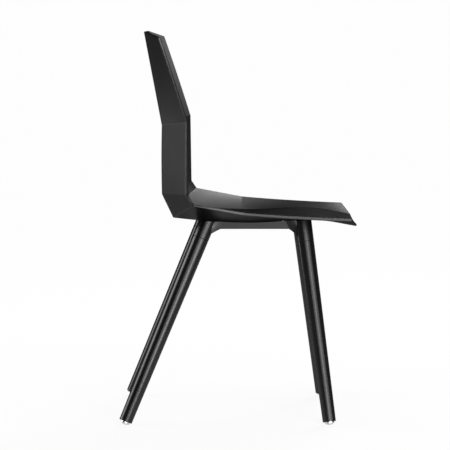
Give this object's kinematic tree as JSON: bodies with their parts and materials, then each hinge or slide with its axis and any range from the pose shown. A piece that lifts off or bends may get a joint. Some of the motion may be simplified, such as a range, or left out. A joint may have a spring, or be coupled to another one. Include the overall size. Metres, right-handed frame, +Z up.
{
  "type": "side chair",
  "caption": "Armless side chair with a faceted one-piece plastic shell on four splayed, tapered round legs, black throughout, with metal glides",
  "frame": {"origin": "on the floor, under the centre of the chair's outer box", "axes": "+Z up, the front of the seat faces -Y, +X is the sitter's left; the chair is the same on both sides of X = 0"},
  "size_m": [0.51, 0.5054, 0.8318],
  "materials": {
    "shell_plastic": "fine satin moulding texture, soft wide highlights",
    "leg_lacquer": "turned hardwood under smooth, glossy black lacquer, grain closed",
    "casting_coating": "smooth, glossy black powder coating on cast aluminium",
    "rail_coating": "satin black powder coating on flat steel bar",
    "glide_nickel": "bright nickel plating, brushed dull where it stands on the floor",
    "fastener_steel": "zinc-plated steel, fine turned marks",
    "insert_brass": "plain turned brass",
    "pad_rubber": "matte black rubber"
  },
  "bodies": {
    "root": {"seat_shell": "shell_plastic", "leg_front_left": "leg_lacquer", "leg_front_right": "leg_lacquer", "leg_rear_left": "leg_lacquer", "leg_rear_right": "leg_lacquer", "side_casting_left": "casting_coating", "side_casting_right": "casting_coating", "cross_rail_front": "rail_coating", "cross_rail_rear": "rail_coating", "glide_front_left": "glide_nickel", "glide_front_right": "glide_nickel", "glide_rear_left": "glide_nickel", "glide_rear_right": "glide_nickel", "glide_nails": "fastener_steel", "shell_washers": "fastener_steel", "shell_screws": "fastener_steel", "rail_screws": "fastener_steel", "leg_washers": "fastener_steel", "leg_bolts": "fastener_steel", "leg_bushes": "insert_brass", "shell_inserts": "insert_brass", "pad_front_left": "pad_rubber", "pad_front_right": "pad_rubber", "pad_rear_left": "pad_rubber", "pad_rear_right": "pad_rubber"}
  },
  "joints": []
}
